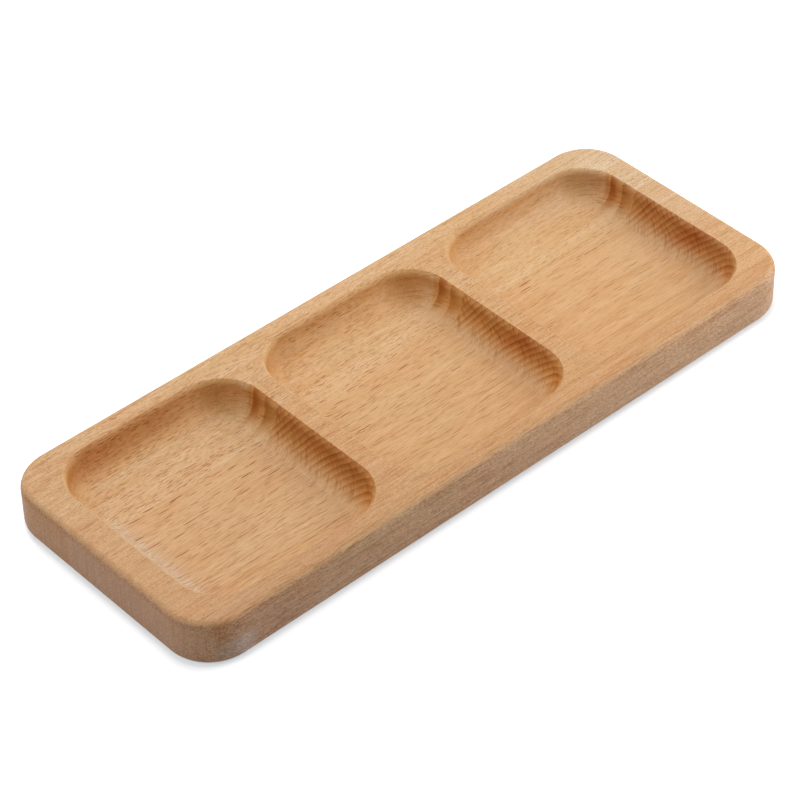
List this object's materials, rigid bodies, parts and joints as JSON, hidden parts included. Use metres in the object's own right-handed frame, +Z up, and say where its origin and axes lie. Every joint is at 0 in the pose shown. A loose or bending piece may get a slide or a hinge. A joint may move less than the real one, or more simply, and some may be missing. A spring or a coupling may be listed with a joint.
{
  "type": "compartment tray",
  "caption": "Long low wooden tray with rounded corners and a row of dished pockets milled into its top.",
  "frame": {"origin": "centre of the flat base, where the tray's bounding box meets the table", "axes": "+X along the length of the tray, +Y across it towards the narrow back stave, +Z up out of the pockets"},
  "size_m": [0.3, 0.1146, 0.02],
  "materials": {
    "beech_back": "sanded and lightly oiled steamed beech with short dense ray flecks",
    "beech_front": "sanded and lightly oiled steamed beech with straight grain",
    "wood_glue": "dried wood glue, matt"
  },
  "bodies": {
    "root": {"back_stave": "beech_back", "front_stave": "beech_front", "glue_line": "wood_glue"}
  },
  "joints": []
}
